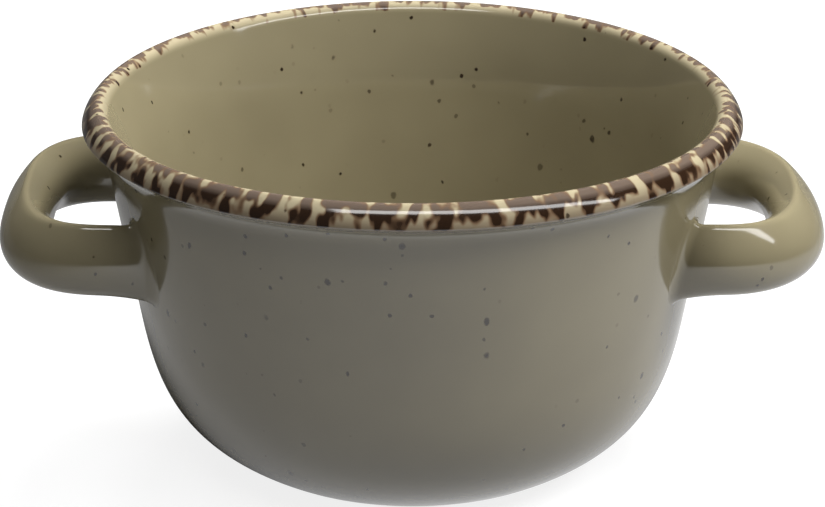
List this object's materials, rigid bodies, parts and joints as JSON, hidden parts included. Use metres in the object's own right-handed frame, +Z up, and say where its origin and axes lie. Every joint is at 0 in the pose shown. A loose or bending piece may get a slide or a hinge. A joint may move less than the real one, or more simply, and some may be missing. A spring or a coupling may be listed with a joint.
{
  "type": "soup cup",
  "caption": "Stoneware soup cup: a round bowl with a rolled lip and a foot ring, and a loop handle on either side for lifting it with both hands.",
  "frame": {"origin": "middle of the foot ring, on the surface that the cup stands on", "axes": "+Z up along the bowl's axis, +X towards the right handle, -Y towards the viewer at the front"},
  "size_m": [0.1568, 0.125, 0.0698],
  "materials": {
    "glaze": "glossy sage-beige stoneware glaze with dark brown iron specks, and a mottled brown and cream band round the lip",
    "slip": "fired clay slip, hidden in the joints of the handles"
  },
  "bodies": {
    "root": {"cup_body": "glaze", "left_handle": "glaze", "right_handle": "glaze", "left_handle_front_slip": "slip", "left_handle_back_slip": "slip", "right_handle_front_slip": "slip", "right_handle_back_slip": "slip"}
  },
  "joints": []
}
